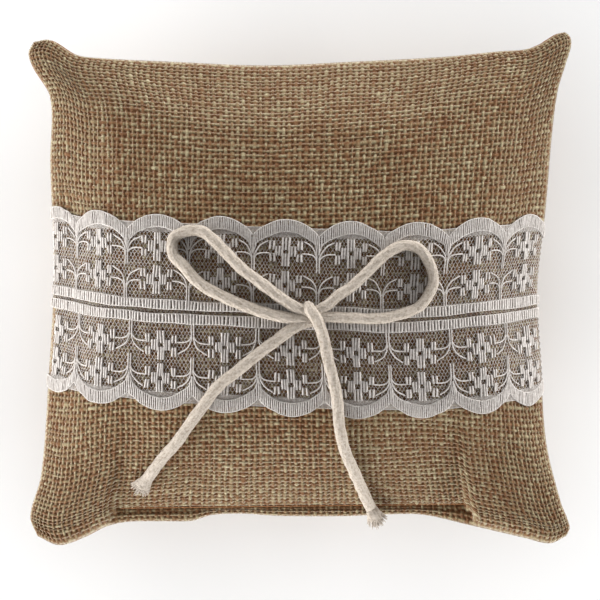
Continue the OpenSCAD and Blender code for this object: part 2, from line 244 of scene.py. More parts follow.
share_x, width = even(lambda t: face(2 * t - 1, np.zeros_like(t)), YARNS_X)
lip_share = (STITCH_LINE - SIDES[0][SIDE_POINTS // 2, 1]) / (2 * HALF_Y)
share_y, height = even(lambda t: face(np.zeros_like(t), -1 + 2 * (lip_share + t * (1 - lip_share))),
                       YARNS_Y - LIP_YARNS)
print("cloth over the front:", round(width), "x", round(height), "mm")


def yarn_grid(cols, rows):
    """Cloth positions u, v where yarn lines cross. Both counts may be fractions of a yarn."""
    c, r = np.meshgrid(cols, rows)
    inside = np.minimum.reduce([c, YARNS_X - c, r, YARNS_Y - r, np.full(c.shape, CALM_RIM)]) / CALM_RIM
    crossings = list(zip(c.flat, r.flat))
    stray = np.array([noise.noise(Vector((a * ACROSS, b * ALONG, 0))) for a, b in crossings])
    sag = np.array([noise.noise(Vector((a * ALONG, b * ACROSS, 9))) for a, b in crossings])
    c = c + WANDER * inside * stray.reshape(c.shape)
    r = r + WANDER * np.where(r < LIP_YARNS + 1, 0, inside) * sag.reshape(c.shape)
    u = 2 * np.interp(c, np.arange(YARNS_X + 1), share_x) - 1
    depth, there = lip_depth(u)
    lip = (there * depth + (1 - there) * HEM) / HALF_Y
    above = (2 - LIP_USUAL) * np.interp(r - LIP_YARNS, np.arange(len(share_y)), share_y)
    rest = LIP_USUAL + (lip - LIP_USUAL) * (1 - smooth_step(above / LIP_REACH))
    v = -1 + np.where(r < LIP_YARNS, lip * r / LIP_YARNS, above + rest)
    return u, v


# %% [markdown]
# ## Slack in the cloth
#
# A stuffed cushion is never perfectly smooth. The filling is lumpy, and the cloth near the
# seams has more length than it needs. A short cloth simulation, blown up from inside and held
# at the seams, gives the small swells. Only the part of each move that goes in or out of the
# cushion is kept, so the weave stays straight. The moves are calmed by averaging, which takes
# out the sharp folds that thick cloth doesn't make. How far a point may move is capped, so
# the cushion keeps its size.

# %% Cloth simulation
SWELL_CAP = 1.6
CALM = 10
STEPS = 20
GROWTH = 0.012
LUMP, LUMP_WIDE, LUMP_SMALL = 0.45, 19, 8
REST_GAP = 0.3


def lumps(points):
    """Soft lumps of the filling, in millimetres, for an array of points in millimetres."""
    flat = points.reshape(-1, 3)
    values = [noise.noise(Vector(p) / LUMP_WIDE)
              + 0.5 * noise.noise(Vector(p) / LUMP_SMALL + Vector((3, 1, 7))) for p in flat]
    return np.array(values).reshape(points.shape[:-1])


def normals(points):
    """Outward normals of a grid of points with rows along +X."""
    n = np.cross(np.gradient(points, axis=1), np.gradient(points, axis=0))
    return n / np.linalg.norm(n, axis=-1, keepdims=True)


def grid_place(vert, cols, rows):
    """Column and row of a vertex of a fresh grid that is cols by rows cells."""
    return round((vert.co.x + 1) / 2 * cols), round((vert.co.y + 1) / 2 * rows)


def closed(bm, rims):
    """Join the two open rims of a shell, and turn its faces outwards and smooth."""
    bmesh.ops.bridge_loops(bm, edges=rims)
    bmesh.ops.recalc_face_normals(bm, faces=bm.faces)
    for f in bm.faces:
        f.smooth = True


def put_mesh(name, bm):
    """Put a finished bmesh into the scene as a piece."""
    mesh = bpy.data.meshes.new(name)
    bm.to_mesh(mesh)
    bm.free()
    return put(name, mesh)


def grid_mesh(name, points):
    """A mesh object in metres over a grid of points in millimetres."""
    rows, cols = points.shape[0] - 1, points.shape[1] - 1
    bm = bmesh.new()
    bmesh.ops.create_grid(bm, x_segments=cols, y_segments=rows, size=1)
    for vert in bm.verts:
        i, j = grid_place(vert, cols, rows)
        vert.co = points[j, i] * MM
        vert.index = j * (cols + 1) + i
    bm.verts.sort()
    return put_mesh(name, bm)


def slackened(points, held):
    """The grid after a short cloth simulation with pressure. held marks points that stay."""
    obj = grid_mesh("cloth", points)
    pins = obj.vertex_groups.new(name="held")
    pins.add([int(k) for k in np.flatnonzero(held.ravel())], 1, "REPLACE")
    cloth = obj.modifiers.new("Cloth", "CLOTH")
    cloth.settings.vertex_group_mass = "held"
    cloth.settings.quality = 5
    cloth.settings.mass = 0.1
    cloth.settings.shrink_min = -GROWTH
    cloth.settings.shrink_max = -GROWTH
    cloth.settings.bending_stiffness = 2
    cloth.settings.use_pressure = True
    cloth.settings.uniform_pressure_force = 4
    cloth.settings.effector_weights.gravity = 0
    for step in range(1, STEPS + 1):
        bpy.context.scene.frame_set(step)
    made = obj.evaluated_get(bpy.context.evaluated_depsgraph_get()).to_mesh()
    co = np.empty(len(made.vertices) * 3)
    made.vertices.foreach_get("co", co)
    moved = co.reshape(points.shape) / MM - points
    out = normals(points)
    moved = out * (moved * out).sum(axis=-1, keepdims=True)
    for _ in range(CALM):
        calm = sum(np.roll(moved, step, axis) for step in (1, -1) for axis in (0, 1)) / 4
        moved[1:-1, 1:-1] = calm[1:-1, 1:-1]
    moved[held] = 0
    bpy.data.objects.remove(obj)
    bpy.context.scene.frame_set(1)
    size = np.linalg.norm(moved, axis=-1, keepdims=True)
    print("cloth moved up to", round(float(size.max()), 2), "mm")
    return points + moved * np.minimum(1, SWELL_CAP / np.maximum(size, 1e-6))


def panel_points(floor=None):
    """The yarn grid of one panel as it lies on the cushion, in millimetres."""
    u, v = yarn_grid(np.arange(YARNS_X + 1), np.arange(YARNS_Y + 1))
    points = face(u, v, floor)
    edge = np.minimum(crown(u, v) * 3, 1)[..., None]
    out = normals(points) * (1 if floor is None else -1)
    points = points + out * edge * LUMP * lumps(points)[..., None]
    held = crown(u, v) < 1e-6
    if floor is not None:
        points[..., 2] = np.maximum(points[..., 2], REST_GAP)
        held |= points[..., 2] < REST_GAP + 0.2
    points = slackened(points, held)
    if floor is not None:
        points[..., 2] = np.maximum(points[..., 2], REST_GAP)
    return points


front_points = panel_points()
back_points = panel_points(floor=SEAM_Z / MM)
print("front reaches", round(float(front_points[..., 2].max()), 1), "mm")

# %% [markdown]
# ## The weave
#
# Each panel becomes a closed shell. Its outer face has four grid lines for each yarn, and the
# plain weave is raised on it. The yarns are thinner than their spacing, so small square holes
# stay between them. At each crossing one yarn rides over the other, and neighbours take turns.
# The edge turns in between the panels as the seam allowance does, and a plain inner face
# closes the shell.

# %% Panels
PER_YARN = 4
YARN_SHARE = 0.74
YARN_RISE = 0.42
YARN_WAVE = 0.3
ALLOWANCE = 6
PLY = 0.3


def finer(count, parts):
    """Matrix that turns count + 1 values into count * parts + 1 on a smooth curve."""
    out = np.zeros((count * parts + 1, count + 1))
    for f in range(count * parts + 1):
        i, t = min(f // parts, count - 1), f / parts - min(f // parts, count - 1)
        weights = (-t**3 + 2 * t**2 - t, 3 * t**3 - 5 * t**2 + 2,
                   -3 * t**3 + 4 * t**2 + t, t**3 - t**2)
        for k, w in zip(range(i - 1, i + 3), weights):
            a = min(max(k, 0), count)
            b = min(max(2 * a - k, 0), count)
            out[f, a] += w if a == k else w
            if a != k:
                out[f, a] += w
                out[f, b] -= w
    out *= 0.5
    return out


def woven(cols, rows):
    """Height of the weave, in millimetres, where cols and rows count yarns from the edge."""
    dx, dy = cols - np.floor(cols) - 0.5, rows - np.floor(rows) - 0.5
    over = 1 - 2 * ((np.floor(cols) + np.floor(rows)) % 2)
    ridge_x = np.maximum(0, np.cos(np.pi * np.minimum(np.abs(dx) / YARN_SHARE, 0.5)))
    ridge_y = np.maximum(0, np.cos(np.pi * np.minimum(np.abs(dy) / YARN_SHARE, 0.5)))
    warp = ridge_x * (1 + YARN_WAVE * over * np.cos(np.pi * dy))
    weft = ridge_y * (1 - YARN_WAVE * over * np.cos(np.pi * dx))
    return YARN_RISE * (np.maximum(warp, weft) - 1 - YARN_WAVE)


def shell(name, points, side):
    """A closed panel over a yarn grid. side is 1 for the front panel and -1 for the back."""
    fine = finer(YARNS_X, PER_YARN) @ np.tensordot(finer(YARNS_Y, PER_YARN), points, 1)
    rows, cols = fine.shape[:2]
    yarn_x, yarn_y = np.meshgrid(np.arange(cols) / PER_YARN, np.arange(rows) / PER_YARN)
    near = np.minimum.reduce([yarn_x, YARNS_X - yarn_x, yarn_y, YARNS_Y - yarn_y])
    fade = np.minimum(1, near)[..., None]
    fine = fine + side * normals(fine) * fade * woven(yarn_x, yarn_y)[..., None]
    if side < 0:
        fine[..., 2] = np.maximum(fine[..., 2], 0)
    inner = points - side * normals(points) * CLOTH
    middle = SEAM_Z / MM + side * EDGE
    inner[..., 2] = side * np.maximum(side * inner[..., 2], side * middle + PLY)
    obj = grid_mesh(name, fine)
    mesh = obj.data
    bm = bmesh.new()
    bm.from_mesh(mesh)
    cloth_uv = bm.loops.layers.uv.new("cloth")
    bm.verts.ensure_lookup_table()
    for f in bm.faces:
        for loop in f.loops:
            k = loop.vert.index
            loop[cloth_uv].uv = (k % cols / (cols - 1), k // cols / (rows - 1))
    rim = [e for e in bm.edges if e.is_boundary]
    centre = Vector((0, 0, middle * MM))
    turned = bmesh.ops.extrude_edge_only(bm, edges=rim)["geom"]
    for vert in {v for v in turned if isinstance(v, bmesh.types.BMVert)}:
        away = vert.co - centre
        away.z = 0
        vert.co -= away.normalized() * ALLOWANCE * MM
        vert.co.z = middle * MM
    rim = [e for e in turned if isinstance(e, bmesh.types.BMEdge) and e.is_boundary]
    raised = bmesh.ops.extrude_edge_only(bm, edges=rim)["geom"]
    for vert in {v for v in raised if isinstance(v, bmesh.types.BMVert)}:
        vert.co.z += side * PLY * MM
    open_rim = [e for e in raised if isinstance(e, bmesh.types.BMEdge) and e.is_boundary]
    lining = bmesh.new()
    bmesh.ops.create_grid(lining, x_segments=YARNS_X, y_segments=YARNS_Y, size=1)
    for vert in lining.verts:
        i, j = grid_place(vert, YARNS_X, YARNS_Y)
        p = inner[j, i] * MM
        away = np.array([p[0], p[1], 0]) / max(np.hypot(p[0], p[1]), 1e-9)
        steep = max(abs(2 * i / YARNS_X - 1), abs(2 * j / YARNS_Y - 1)) ** 8
        vert.co = p - away * steep * CLOTH * 1.2 * MM
    lining_mesh = bpy.data.meshes.new("lining")
    lining.to_mesh(lining_mesh)
    lining.free()
    before = set(bm.edges)
    bm.from_mesh(lining_mesh)
    inner_rim = [e for e in bm.edges if e not in before and e.is_boundary]
    closed(bm, open_rim + inner_rim)
    bm.to_mesh(mesh)
    print(name, len(bm.faces), "faces,", sum(e.is_boundary for e in bm.edges), "open edges")
    bm.free()
    return obj


front_cover = shell("front_cover", front_points, 1)
back_cover = shell("back_cover", back_points, -1)

# %% [markdown]
# ## Materials
#
# One helper adds a node with its settings and links. Colours are given as screen hex values and
# turned to linear light, which is what the renderer works in.

# %% Material helpers
def linear(hex_colour):
    values = [int(hex_colour[k:k + 2], 16) / 255 for k in (1, 3, 5)]
    return [c / 12.92 if c <= 0.04045 else ((c + 0.055) / 1.055) ** 2.4 for c in values] + [1]


def add(tree, kind, inputs=(), **settings):
    """Add a node. Settings are its properties; inputs maps its sockets to values or links.

    A link is an output of another node, or the node itself for its first output.
    """
    made = tree.nodes.new("ShaderNode" + kind)
    for key, value in settings.items():
        setattr(made, key, value)
    for key, value in dict(inputs).items():
        if isinstance(value, bpy.types.Node):
            value = value.outputs[0]
        if isinstance(value, bpy.types.NodeSocket):
            tree.links.new(value, made.inputs[key])
        else:
            made.inputs[key].default_value = value
    return made


def ramp(node, stops):
    """Set a colour ramp's stops from pairs of place and hex colour."""
    elements = node.color_ramp.elements
    while len(elements) < len(stops):
        elements.new(0.5)
    for element, (place, colour) in zip(elements, stops):
        element.position = place
        element.color = linear(colour)


def new_material(name):
    material = bpy.data.materials.new(name)
    material.use_nodes = True
    material.node_tree.nodes.clear()
    return material, material.node_tree


def clad(pieces, material):
    for piece in pieces:
        piece.data.materials.append(material)
    print(material.name, "with", len(material.node_tree.nodes), "nodes on", len(pieces), "pieces")


def grained(name, grain, stops, finish, bump=0.0):
    """A material whose colour changes in grains. grain and finish are settings of its nodes."""
    material, t = new_material(name)
    place = add(t, "TexCoord")
    grain = add(t, "TexNoise", {"Vector": place.outputs["Object"], **grain})
    shade = add(t, "ValToRGB", {0: grain})
    ramp(shade, stops)
    shader = add(t, "BsdfPrincipled", {"Base Color": shade, **finish})
    if bump:
        relief = add(t, "Bump", {"Strength": bump, "Distance": 0.4 * MM, "Height": grain})
        t.links.new(relief.outputs[0], shader.inputs["Normal"])
    add(t, "OutputMaterial", {0: shader})
    return material


# %% [markdown]
# ### Imitation burlap
#
# The yarns are spun from fibres of several colours, so each yarn changes slowly along its
# length and from its neighbours. The same plain weave that shapes the cloth picks which yarn
# is seen. Painted shade follows the weave's height: the holes between yarns take a brown
# painted shade, and each yarn's flanks take part of it, so only its crown keeps its own tone.
# Loose fibre on the surface gives a sheen that brightens the cloth where it turns away.

# %% Imitation burlap
MELANGE = [(0.0, "#50331D"), (0.25, "#6E492D"), (0.42, "#7A5D3E"), (0.55, "#807053"),
           (0.72, "#95896B"), (1.0, "#ACA283")]
# Painted shade: the brown colour put in the holes between yarns and, in part, on their flanks.
PAINTED_HOLE_SHADE = "#5E3B20"
SLOW_CHANGE, NEXT_YARN = 0.6, 7.31
FIBRE_SHARE, DYE_SHARE = 0.45, 0.12
TONE_FROM, TONE_TO = 0.59, 0.98


def burlap():
    material, t = new_material("imitation_burlap")
    uv = add(t, "UVMap", uv_map="cloth")
    yarns = add(t, "VectorMath", {0: uv, 1: (YARNS_X, YARNS_Y, 1)}, operation="MULTIPLY")
    cell = add(t, "VectorMath", {0: yarns}, operation="FLOOR")
    off = add(t, "VectorMath", {0: yarns, 1: cell}, operation="SUBTRACT")
    off = add(t, "VectorMath", {0: off, 1: (0.5, 0.5, 0)}, operation="SUBTRACT")
    turn = add(t, "VectorMath", {0: off, 1: (math.pi, math.pi, 0)}, operation="MULTIPLY")
    wide = add(t, "VectorMath", {0: turn}, operation="COSINE")
    wide = add(t, "SeparateXYZ", {0: wide}).outputs
    turn = add(t, "VectorMath", {0: turn, "Scale": 1 / YARN_SHARE}, operation="SCALE")
    ridge = add(t, "VectorMath", {0: turn}, operation="COSINE")
    ridge = add(t, "VectorMath", {0: ridge, 1: (0, 0, 0)}, operation="MAXIMUM")
    ridge = add(t, "SeparateXYZ", {0: ridge}).outputs
    place = add(t, "SeparateXYZ", {0: cell}).outputs
    run = add(t, "SeparateXYZ", {0: yarns}).outputs
    total = add(t, "Math", {0: place[0], 1: place[1]}, operation="ADD")
    odd = add(t, "Math", {0: total, 1: 2.0}, operation="MODULO")
    over = add(t, "Math", {0: odd, 1: -2 * YARN_WAVE, 2: YARN_WAVE}, operation="MULTIPLY_ADD")
    under = add(t, "Math", {0: over, 1: -1.0}, operation="MULTIPLY")
    heights, tones = [], []
    for across, along_yarn, lift in ((0, 1, over), (1, 0, under)):
        high = add(t, "Math", {0: wide[along_yarn], 1: lift, 2: 1.0}, operation="MULTIPLY_ADD")
        heights.append(add(t, "Math", {0: ridge[across], 1: high}, operation="MULTIPLY"))
        slow = add(t, "Math", {0: run[along_yarn], 1: SLOW_CHANGE}, operation="MULTIPLY")
        each = add(t, "Math", {0: place[across], 1: NEXT_YARN}, operation="MULTIPLY")
        at = add(t, "CombineXYZ", {0: slow, 1: each, 2: 5.0 * across})
        tones.append(add(t, "TexNoise", {"Vector": at, "Scale": 1.0, "Detail": 4.0, "Roughness": 0.75}))
    top = add(t, "Math", dict(enumerate(heights)), operation="MAXIMUM")
    pick = add(t, "Math", dict(enumerate(heights)), operation="GREATER_THAN")
    tone = add(t, "Mix", {0: pick, 2: tones[1], 3: tones[0]}, data_type="FLOAT")
    fibre = add(t, "TexNoise", {"Vector": yarns, "Scale": 4.0, "Detail": 4.0, "Roughness": 0.8})
    tone = add(t, "Math", {0: fibre, 1: FIBRE_SHARE, 2: tone}, operation="MULTIPLY_ADD")
    dye = add(t, "TexNoise", {"Vector": uv, "Scale": 9.0, "Detail": 2.0})
    tone = add(t, "Math", {0: dye, 1: DYE_SHARE, 2: tone}, operation="MULTIPLY_ADD")
    spread = add(t, "MapRange", {0: tone, 1: TONE_FROM, 2: TONE_TO})
    shade = add(t, "ValToRGB", {0: spread})
    ramp(shade, MELANGE)
    # Painted shade: below the weave's crowns the colour is mixed towards the painted hole shade.
    painted_lightness = add(t, "MapRange", {0: top, 1: 0.0, 2: 1.15, 3: 0.0, 4: 1.0})
    painted_shade = add(t, "Mix", {0: painted_lightness, 6: linear(PAINTED_HOLE_SHADE), 7: shade}, data_type="RGBA")
    relief = add(t, "Math", {0: fibre, 1: 0.3, 2: top}, operation="MULTIPLY_ADD")
    bump = add(t, "Bump", {"Strength": 0.8, "Distance": 0.4 * MM, "Height": relief})
    shader = add(t, "BsdfPrincipled", {
        "Base Color": painted_shade.outputs[2], "Roughness": 0.85, "Specular IOR Level": 0.2,
        "Sheen Weight": 1.0, "Sheen Roughness": 0.35, "Sheen Tint": linear("#E9DFCB"),
        "Normal": bump})
    add(t, "OutputMaterial", {0: shader})
    return material


clad([front_cover, back_cover], burlap())

# %% [markdown]
# ## Placing things on the cushion
#
# Lace and thread are planned flat, on the cloth, in millimetres from its middle. This function
# carries a flat place onto the stuffed cushion, at a height over the cloth. It reads the front
# panel's own grid, so everything follows the cloth's swells.

# %% From flat cloth to the cushion
front_normals = normals(front_points)
CLOTH_W, CLOTH_H = YARNS_X * YARN, YARNS_Y * YARN


def on_cushion(x, y, h):
    """Points over flat cloth places x, y at height h, all in millimetres; the result in metres."""
    x, y, h = np.broadcast_arrays(np.asarray(x, float), np.asarray(y, float), np.asarray(h, float))
    past = np.maximum(0, np.abs(x) - CLOTH_W / 2)
    i = np.clip(x / YARN + YARNS_X / 2, 0, YARNS_X - 1e-6)
    j = np.clip(y / YARN + YARNS_Y / 2, 0, YARNS_Y - 1e-6)
    i0, j0 = np.floor(i).astype(int), np.floor(j).astype(int)
    fi, fj = (i - i0)[..., None], (j - j0)[..., None]
    mixed = [(1 - fj) * ((1 - fi) * g[j0, i0] + fi * g[j0, i0 + 1])
             + fj * ((1 - fi) * g[j0 + 1, i0] + fi * g[j0 + 1, i0 + 1])
             for g in (front_points, front_normals)]
    point = mixed[0] + h[..., None] * mixed[1]
    tuck = (past > 0)[..., None]
    inside = mixed[0] - np.sign(x)[..., None] * past[..., None] * np.array([1, 0, 0])
    inside[..., 2] = SEAM_Z / MM
    return np.where(tuck, inside, point) * MM


print("flat cloth", CLOTH_W, "x", CLOTH_H, "mm; its middle lies at", on_cushion(0, 0, 0).round(3), "m")

# %% [markdown]
# ## Threads
#
# Thin threads are curves with a round bevel, turned to a mesh when they are all laid. One curve
# object holds many strands, so a whole net or a row of stitches is one piece.

# %% Strands
def strands(name, lines, thickness, resolution=1, taper=None):
    """A mesh piece of round threads along lists of points in metres."""
    curve = bpy.data.curves.new(name, "CURVE")
    curve.dimensions = "3D"
    curve.bevel_depth = thickness / 2
    curve.bevel_resolution = resolution
    curve.use_fill_caps = True
    for line in lines:
        spline = curve.splines.new("POLY")
        spline.points.add(len(line) - 1)
        spline.points.foreach_set("co", np.c_[line, np.ones(len(line))].ravel())
        if taper is not None:
            spline.points.foreach_set("radius", np.interp(np.linspace(0, 1, len(line)), [0, 1], taper))
    holder = put(name, curve)
    mesh = bpy.data.meshes.new_from_object(holder.evaluated_get(bpy.context.evaluated_depsgraph_get()))
    bpy.data.objects.remove(holder)
    mesh.name = name
    mesh.shade_smooth()
    print(name, len(lines), "strands,", len(mesh.polygons), "faces")
    return put(name, mesh)


# %% [markdown]
# ## The lace
#
# The lace is one band 53 mm wide with a pattern that repeats every 17.5 mm. A thick scalloped
# border edges both sides, two narrow bars run along the middle, and between them stand rows of
# block flowers and small branching sprigs on a fine net. Everything solid is close parallel
# threads laid across the band, as satin stitch is, so it is made thread by thread. No two
# threads of a knitted lace lie quite alike, so each one gets a little play. The lower half was
# pulled a little to one side when the band was sewn on. The band isn't sewn on straight either:
# its middle line is a shallow curve through a few places on the cloth.

# %% Lace sizes
REPEAT = 17.5
FIRST_VALLEY = 5.75
LACE_HALF = 26.5
SCALLOP = 4.7
BORDER = 3.3
SPIKE = 2.2
BAR_FROM, BAR_TO = 0.65, 3.05
LACE_H = 0.3
LACE_END = CLOTH_W / 2 + 2.5
LOWER_SHIFT, UPPER_LEAN = 1.5, 0.02
LOWER_WIDTH, UPPER_WIDTH, END_NARROWING = 1.02, 0.985, 0.000025
LACE_LINE = smooth_curve([(-80, -1), (-60, -2.9), (-45, -4.5), (-25, -5.4), (-4, -6.4), (15, -7.3),
                          (28, -7.9), (40, -7.4), (56, -6.1), (80, -4.4)])


def lace_middle(x):
    """Height on the cloth of the band's middle line, which dips between the seams."""
    return np.interp(x, LACE_LINE[:, 0], LACE_LINE[:, 1])


def on_lace(a, b, h):
    """Place on the cushion of a point of the lace, a along it and b across from its middle."""
    a, b = np.asarray(a, float), np.asarray(b, float)
    a = a + np.where(b > 0, UPPER_LEAN * b, LOWER_SHIFT)
    stretch = (1 - END_NARROWING * a**2) * np.where(b > 0, UPPER_WIDTH, LOWER_WIDTH)
    return on_cushion(a, lace_middle(a) + b * stretch, h)


def from_valley(a):
    """Distance along the band to the nearest valley of the scallops."""
    return np.abs((np.asarray(a, float) - FIRST_VALLEY + REPEAT / 2) % REPEAT - REPEAT / 2)


def scallop(a):
    """Distance of the band's outer edge from its middle."""
    return LACE_HALF - SCALLOP * (1 - np.sin(np.pi * from_valley(a) / REPEAT) ** 0.75)


def border_inside(a):
    """Distance of the border's inner edge. A short spike points inwards at each valley."""
    return scallop(a) - BORDER - SPIKE * np.maximum(0, 1 - from_valley(a) / 0.8)


def fill_edge(a):
    """Distance of the fine net's edge, which bridges the valleys almost straight."""
    return np.maximum(scallop(a), LACE_HALF - 0.5 * SCALLOP + 0.03 * from_valley(a))


print("the lace's middle line dips by", round(float(np.ptp(LACE_LINE[:, 1])), 1), "mm")

# %% Satin threads
BORDER_PITCH, BORDER_THREAD = 0.52, 0.46
BLOCK_PITCH, BLOCK_THREAD = 0.74, 0.64
BAR_PITCH, BAR_THREAD = 0.86, 0.76
PITCH_PLAY, LEAN_PLAY, END_PLAY = 0.12, 0.1, 0.07
HUMP = 0.06
play = random.Random(3)


def satin(low_a, high_a, low_b, high_b, pitch, steps=3):
    """Parallel threads across a patch of lace. low_b and high_b are functions of a."""
    count = max(1, round((high_a - low_a) / pitch))
    for k in range(count):
        a = low_a + (k + 0.5 + play.uniform(-PITCH_PLAY, PITCH_PLAY)) * (high_a - low_a) / count
        lean = play.uniform(-LEAN_PLAY, LEAN_PLAY)
        low = low_b(a) + play.uniform(-END_PLAY, END_PLAY)
        high = high_b(a) + play.uniform(-END_PLAY, END_PLAY)
        b = np.linspace(low, high, steps + 1)
        hump = HUMP * np.sin(np.linspace(0, np.pi, steps + 1))
        yield on_lace(np.linspace(a - lean, a + lean, steps + 1), b, LACE_H + 0.1 + hump)


# The blocks of one flower: place along and across from its middle, width and height.
FLOWER = [(0, 2.25, 2.2, 3.3), (0, -2.25, 2.2, 3.3), (-2.0, 0, 1.6, 2.8), (2.0, 0, 1.6, 2.8),
          (-3.7, 1.75, 1.7, 2.2), (3.7, 1.75, 1.7, 2.2), (-3.7, -1.75, 1.7, 2.2), (3.7, -1.75, 1.7, 2.2),
          (-0.95, 0, 0.6, 3.0), (0.95, 0, 0.6, 3.0)]
FLOWER_ROWS = (-18.0, -9.0, 8.5, 17.7)
SPRIG_ROWS = ((BAR_TO, 1), (12.1, 1), (-BAR_TO, -1), (-12.1, -1))


def level(b):
    return lambda a: b + 0 * a


def repeats(first):
    """Places along the lace, a repeat apart, that lie on the cushion."""
    k = np.arange(-6, 7) * REPEAT + first
    return k[np.abs(k) < CLOTH_W / 2 - 1]


def lace_satin():
    fine, blocks, coarse = [], [], []
    for side in (1, -1):
        fine += satin(-LACE_END, LACE_END, lambda a: side * border_inside(a),
                      lambda a: side * scallop(a), BORDER_PITCH, 4)
        coarse += satin(-LACE_END, LACE_END, level(side * BAR_FROM), level(side * BAR_TO), BAR_PITCH)
    for middle in repeats(FIRST_VALLEY + REPEAT / 2):
        for row in FLOWER_ROWS:
            for x, y, w, h in FLOWER:
                if abs(middle + x) < CLOTH_W / 2:
                    blocks += satin(middle + x - w / 2, middle + x + w / 2, level(row + y - h / 2),
                                    level(row + y + h / 2), BLOCK_PITCH, 2)
    return [strands("lace_satin", fine, BORDER_THREAD * MM, resolution=0),
            strands("lace_flowers", blocks, BLOCK_THREAD * MM, resolution=0),
            strands("lace_bars", coarse, BAR_THREAD * MM, resolution=0)]


lace_pieces = lace_satin()

# %% Sprigs, outlines and net
OUTLINE_THREAD, NET_THREAD = 0.4, 0.2
NET_STEP, NET_ROW, NET_SWING, NET_REACH = 0.5, 0.86, 0.36, 21.5
VALLEY_ROW, VALLEY_SWING = 0.3, 0.1


def bend(points):
    """A smooth run of eight points through a few flat places."""
    return along(smooth_curve(points, 60), np.linspace(0, 1, 8))


def sprig(x, y, way):
    """Threads of one sprig: two for its stem, and two that branch off to each side."""
    for side in (-1, 1):
        shape = [[(0.34, 0), (0.3, 3.9)],
                 [(0.36, 3.4), (0.9, 4.4), (2.2, 5.0), (4.4, 5.1)],
                 [(0.2, 3.6), (0.7, 5.3), (1.8, 6.9), (4.0, 8.2)]]
        for run in shape:
            yield bend([(x + side * dx, y + way * dy) for dx, dy in run])


def lace_threads():
    lines = []
    for x in repeats(FIRST_VALLEY):
        for y, way in SPRIG_ROWS:
            lines += [on_lace(p[:, 0], p[:, 1], LACE_H + 0.12) for p in sprig(x, y, way)]
    a = np.linspace(-LACE_END, LACE_END, 420)
    for side in (1, -1):
        for edge in (scallop, border_inside, level(BAR_FROM), level(BAR_TO)):
            lines.append(on_lace(a, side * edge(a), LACE_H + 0.02))
    return strands("lace_threads", lines, OUTLINE_THREAD * MM)


def lace_net():
    """Rows of zigzag thread that nearly meet at their peaks. The rows crowd in the valleys."""
    lines = []
    a = np.arange(-CLOTH_W / 2, CLOTH_W / 2, NET_STEP)
    teeth = np.where(np.arange(len(a)) % 2, 1, -1)
    for k, b in enumerate(np.arange(-NET_REACH, NET_REACH + 0.1, NET_ROW)):
        lines.append(on_lace(a, b + NET_SWING * (-1) ** k * teeth, LACE_H - 0.1))
    for side in (1, -1):
        for b in np.arange(NET_REACH + 0.4, 25.0, VALLEY_ROW):
            runs = np.split(a, np.flatnonzero(np.diff((fill_edge(a) > b).astype(int))) + 1)
            for run in [r for r in runs if len(r) > 2 and fill_edge(r[1]) > b]:
                swing = VALLEY_SWING * (-1) ** np.arange(len(run))
                lines.append(on_lace(run, side * (b + swing), LACE_H - 0.06))
        lines.append(on_lace(a, side * fill_edge(a), LACE_H))
    return strands("lace_net", lines, NET_THREAD * MM, resolution=0)


lace_pieces += [lace_threads(), lace_net()]

# %% [markdown]
# ### Lace yarn
#
# Lace is knitted from fine bright polyester. It is cool white next to the cream cord, and its
# smooth filaments give a soft gloss.

# %% Lace yarn
clad(lace_pieces, grained("bright_polyester_lace", {"Scale": 1400.0, "Detail": 3.0},
                          [(0.3, "#ADA59F"), (0.7, "#C9C4BF")],
                          {"Roughness": 0.7, "Specular IOR Level": 0.15}))

# %% [markdown]
# ## The bow
#
# The bow is one soft cotton cord 3.1 mm thick, tied in two loops with two free ends. A cord is
# a fixed length of something limp, so each stretch is a tube swept along a smooth line that
# lies on the lace. The points are places over the cushion, and the height at each point is
# read from the cloth below it.

# %% Routes of the cord, in millimetres: x, y and lift over the lace
CORD_D = 3.1
CORD_STEP = 0.4
LEFT_LOOP = [(-1.8, -4.4, 0.4), (-5.5, -2, 0.2), (-9.5, 1, 0), (-15.5, 5.5, 0), (-20, 10, 0),
             (-23.5, 13.5, 0), (-26, 15.5, 0), (-28.5, 16, 0), (-31.5, 15.5, 0), (-34, 14, 0),
             (-34.5, 11.5, 0), (-34, 9, 0), (-31.5, 6.5, 0), (-27.5, 2, 0), (-21.5, -1.5, 0),
             (-14.5, -4.5, 0), (-8.5, -6.5, 0.2), (-3, -7.6, 0.4)]
RIGHT_LOOP = [(7.6, -4, 0.4), (10, -1.8, 0.2), (14, 0.9, 0), (18.8, 5.4, 0), (22.8, 9.3, 0),
              (27.4, 11.8, 0), (31, 11.6, 0), (33.8, 9.2, 0), (35.7, 5, 0), (35.9, 1.5, 0),
              (34.3, -2, 0), (31.9, -4.8, 0), (27.5, -6.5, 0), (24, -7.5, 0), (19, -7.8, 0),
              (13.5, -7.6, 0.2), (7.8, -7.4, 0.4)]
LEFT_TAIL = [(-2.6, -10.9, 0.4), (-5.5, -13, 0.2), (-11.5, -17.5, 0), (-17, -22, 0),
             (-22.5, -26.5, 0), (-25.5, -30.5, 0), (-28.5, -34.5, 0), (-31, -38, 0),
             (-33.5, -41.5, 0), (-37.5, -46, 0), (-40.5, -50, 0), (-43, -53.5, 0), (-44, -56, 0)]
RIGHT_TAIL = [(6, -11.8, 0.4), (6.7, -14.5, 0.2), (7.7, -19.5, 0), (9, -24.5, 0), (10, -29.5, 0),
              (10.5, -35, 0), (11, -39, 0), (12.5, -44.5, 0), (14.5, -49, 0), (16.5, -53.5, 0),
              (18.5, -58, 0.8), (20.5, -62, 1.4), (21.7, -65.5, 0.2)]
KNOT = (3, -7.1)

cloth_below = BVHTree.FromPolygons(
    [Vector(p) for p in front_points.reshape(-1, 3)],
    [(j * (YARNS_X + 1) + i, j * (YARNS_X + 1) + i + 1,
      (j + 1) * (YARNS_X + 1) + i + 1, (j + 1) * (YARNS_X + 1) + i)
     for j in range(YARNS_Y) for i in range(YARNS_X)])


